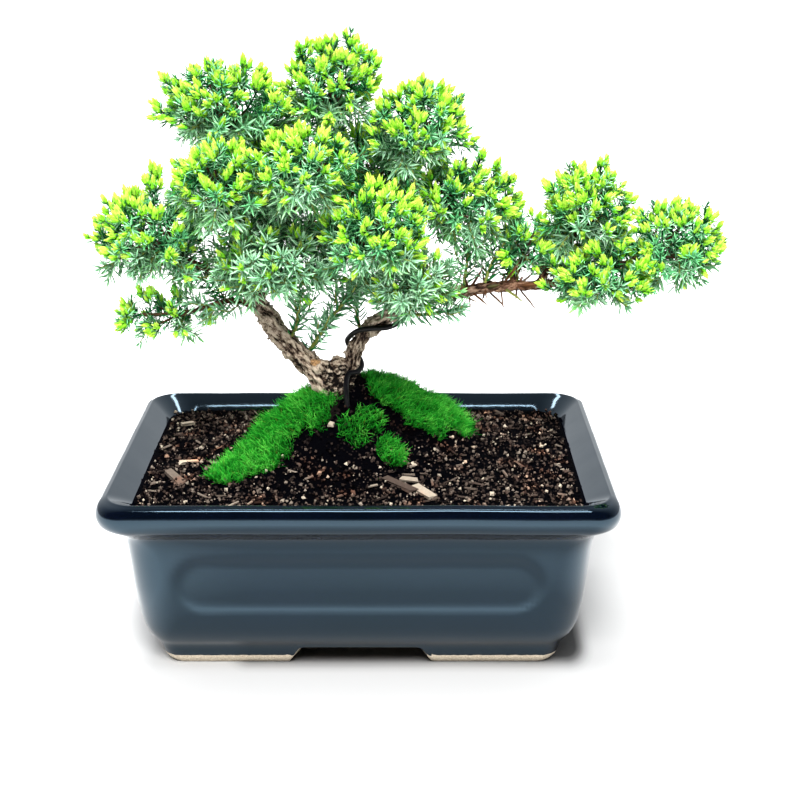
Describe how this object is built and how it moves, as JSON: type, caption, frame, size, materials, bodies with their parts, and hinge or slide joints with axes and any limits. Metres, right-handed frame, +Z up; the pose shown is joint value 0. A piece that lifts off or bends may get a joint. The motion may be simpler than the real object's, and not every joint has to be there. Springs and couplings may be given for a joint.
{
  "type": "potted juniper bonsai",
  "caption": "Small juniper bonsai with a forked, wired trunk and needle foliage, growing on a mossy mound of soil in a rectangular glazed pot with corner feet.",
  "frame": {"origin": "middle of the whole part's footprint box, on the plane that the pot's feet stand on", "axes": "+Z up; +X along the pot's long side, towards the long right branch; +Y from the front of the pot to its back"},
  "size_m": [0.2524, 0.15, 0.2428],
  "materials": {
    "glaze": "gloss dark blue-black glaze, bare clay under the feet",
    "soil": "rough crumbly compost with pale bark chips",
    "moss": "soft vivid green tufts",
    "bark": "rough flaky bark",
    "wire": "black anodised, semi-gloss",
    "screen_plastic": "matte",
    "needles": "satin blue-green needles with yellow-green tips"
  },
  "bodies": {
    "root": {"drain_screen_left": "screen_plastic", "drain_screen_right": "screen_plastic", "foliage_back_left": "needles", "foliage_back_right": "needles", "foliage_crown_left": "needles", "foliage_crown_right": "needles", "foliage_crown_top": "needles", "foliage_front_centre": "needles", "foliage_front_left": "needles", "foliage_front_right": "needles", "foliage_inner": "needles", "foliage_left": "needles", "foliage_low_left": "needles", "foliage_low_right": "needles", "foliage_mid_right": "needles", "foliage_right_back": "needles", "foliage_right_low": "needles", "foliage_right_near": "needles", "foliage_right_tip": "needles", "foliage_right_top": "needles", "moss_front": "moss", "moss_left": "moss", "moss_right": "moss", "moss_tuft": "moss", "pot": "glaze", "soil": "soil", "sprig_branch_low": "needles", "sprig_branch_middle": "needles", "sprig_branch_outer": "needles", "sprig_fork": "needles", "sprig_trunk_left": "needles", "sprig_trunk_right": "needles", "tree": "bark", "wire": "wire"}
  },
  "joints": []
}
